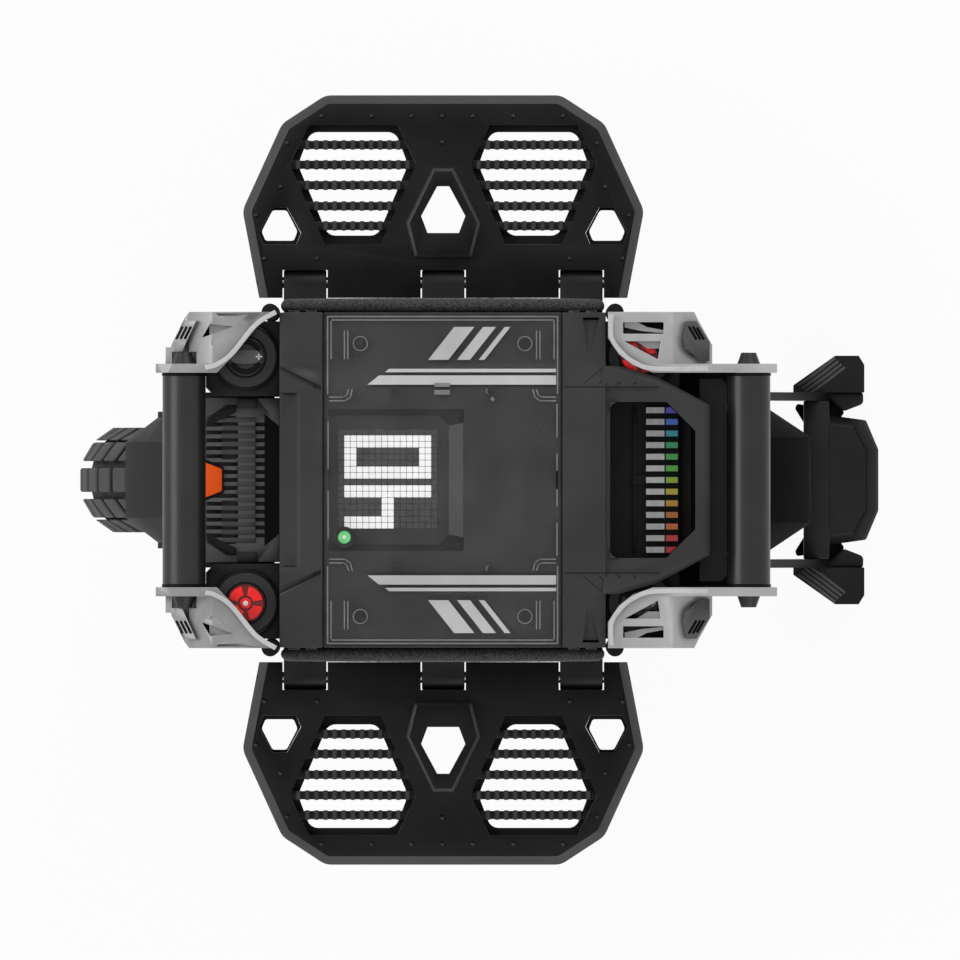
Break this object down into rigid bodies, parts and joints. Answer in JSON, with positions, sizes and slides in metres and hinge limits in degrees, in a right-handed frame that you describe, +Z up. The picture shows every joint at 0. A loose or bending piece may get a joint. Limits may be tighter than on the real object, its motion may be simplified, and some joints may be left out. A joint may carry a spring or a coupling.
{
  "type": "electric unicycle",
  "caption": "Suspended electric unicycle with a hub-motor wheel in a telescopic fork, folding pedals, padded battery boxes, grab bars and a parking stand.",
  "frame": {"origin": "on the floor under the axle, where the tyre touches it", "axes": "+X to the rear, +Y to the rider's right, +Z up"},
  "size_m": [0.564, 0.542, 0.7172],
  "materials": {
    "body_plastic": "moulded, fine grain",
    "deck_metal": "black anodised",
    "box_plastic": "moulded",
    "cell_cans": "wrapped cell cans",
    "foam": "rough moulded foam",
    "black_metal": "black coated casting",
    "steel": "bright",
    "fork_black": "black anodised",
    "seal_rubber": "matte",
    "cap_black": "satin",
    "knob_black": "satin",
    "knob_red": "red anodised",
    "silver_cast": "blasted casting",
    "grip_rubber": "satin",
    "clear_cover": "clear moulding",
    "board": "display panel",
    "circuit": "lacquered board",
    "lens": "clear lens",
    "orange_trim": "painted",
    "light_bar": "light guide",
    "button_green": "lit button",
    "tyre": "moulded rubber",
    "rim_metal": "dark coated",
    "magnet": "plated",
    "lamination": "laminated",
    "guard_plastic": "moulded",
    "stand_metal": "powder coat",
    "foot_rubber": "ribbed"
  },
  "bodies": {
    "frame": {"main_deck": "deck_metal", "battery_box_left": "box_plastic", "battery_box_right": "box_plastic", "battery_packs": "cell_cans", "foam_pad_left": "foam", "foam_pad_right": "foam", "hanger_left": "black_metal", "hanger_right": "black_metal", "pedal_hinge_pins": "steel", "upper_fork_clamps": "black_metal", "lower_fork_clamps": "black_metal", "corner_bumpers": "seal_rubber", "fork_tubes": "fork_black", "fork_seals": "seal_rubber", "fork_caps": "cap_black", "damper_rods": "steel", "fork_springs": "steel", "front_top_cover": "body_plastic", "top_panel": "body_plastic", "display_cover": "clear_cover", "display_panel": "board", "cover_screws": "steel", "controller_board": "circuit", "rear_top_cover": "body_plastic", "tail_light_tray": "board", "tail_light_bars": "light_bar", "charge_port": "box_plastic", "headlight_block": "black_metal", "headlight_lens": "lens", "headlight_trim": "orange_trim", "front_bracket_left": "silver_cast", "front_bracket_right": "silver_cast", "rear_bracket_left": "silver_cast", "rear_bracket_right": "silver_cast", "grab_bars": "grip_rubber", "bar_end_caps": "cap_black"},
    "carriage": {"stanchions": "steel", "axle_carrier_left": "black_metal", "axle_carrier_right": "black_metal", "axle": "steel", "axle_nuts": "steel", "stator": "lamination", "mudguard_front": "guard_plastic", "mudguard_rear": "guard_plastic"},
    "wheel": {"tyre": "tyre", "rim": "rim_metal", "magnets": "magnet", "hub_covers": "rim_metal", "hub_bearings": "steel", "hub_bolts": "steel"},
    "stand": {"stand_arms": "stand_metal", "stand_crossbar": "stand_metal", "stand_feet": "foot_rubber"},
    "pedal_left": {"pedal_left": "black_metal"},
    "pedal_right": {"pedal_right": "black_metal"},
    "preload_front_right": {"preload_knob_front_right": "knob_black"},
    "preload_rear_left": {"preload_knob_rear_left": "knob_black"},
    "damping_front_left": {"damping_knob_front_left": "knob_red"},
    "damping_rear_right": {"damping_knob_rear_right": "knob_red"},
    "button": {"power_button": "button_green"}
  },
  "joints": [
    {"name": "suspension", "type": "slide", "parent": "frame", "child": "carriage", "axis": [0, 0, 1], "range_m": [0, 0.1], "stiffness_N_per_m": 20000, "springref_m": -0.03, "deforming": ["fork_springs"]},
    {"name": "wheel_spin", "type": "hinge", "parent": "carriage", "child": "wheel", "pos_m": [0, 0, 0.256], "axis": [0, 1, 0], "continuous": true},
    {"name": "stand_fold", "type": "hinge", "parent": "carriage", "child": "stand", "pos_m": [0.19, 0, 0.234], "axis": [0, -1, 0], "range_deg": [0, 120]},
    {"name": "pedal_right_fold", "type": "hinge", "parent": "frame", "child": "pedal_right", "pos_m": [0, 0.139, 0.191], "axis": [1, 0, 0], "range_deg": [0, 85]},
    {"name": "pedal_left_fold", "type": "hinge", "parent": "frame", "child": "pedal_left", "pos_m": [0, -0.139, 0.191], "axis": [-1, 0, 0], "range_deg": [0, 85]},
    {"name": "preload_front_right_turn", "type": "hinge", "parent": "frame", "child": "preload_front_right", "pos_m": [-0.1365, 0.0854, 0.69], "axis": [0, 0, 1], "range_deg": [-180, 180]},
    {"name": "preload_rear_left_turn", "type": "hinge", "parent": "frame", "child": "preload_rear_left", "pos_m": [0.1365, -0.0854, 0.69], "axis": [0, 0, 1], "range_deg": [-180, 180]},
    {"name": "damping_front_left_turn", "type": "hinge", "parent": "frame", "child": "damping_front_left", "pos_m": [-0.1365, -0.0854, 0.69], "axis": [0, 0, 1], "range_deg": [-135, 135]},
    {"name": "damping_rear_right_turn", "type": "hinge", "parent": "frame", "child": "damping_rear_right", "pos_m": [0.1365, 0.0854, 0.69], "axis": [0, 0, 1], "range_deg": [-135, 135]},
    {"name": "power_button_press", "type": "slide", "parent": "frame", "child": "button", "axis": [0, 0, -1], "range_m": [0, 0.0015], "stiffness_N_per_m": 300, "springref_m": -0.0005}
  ]
}
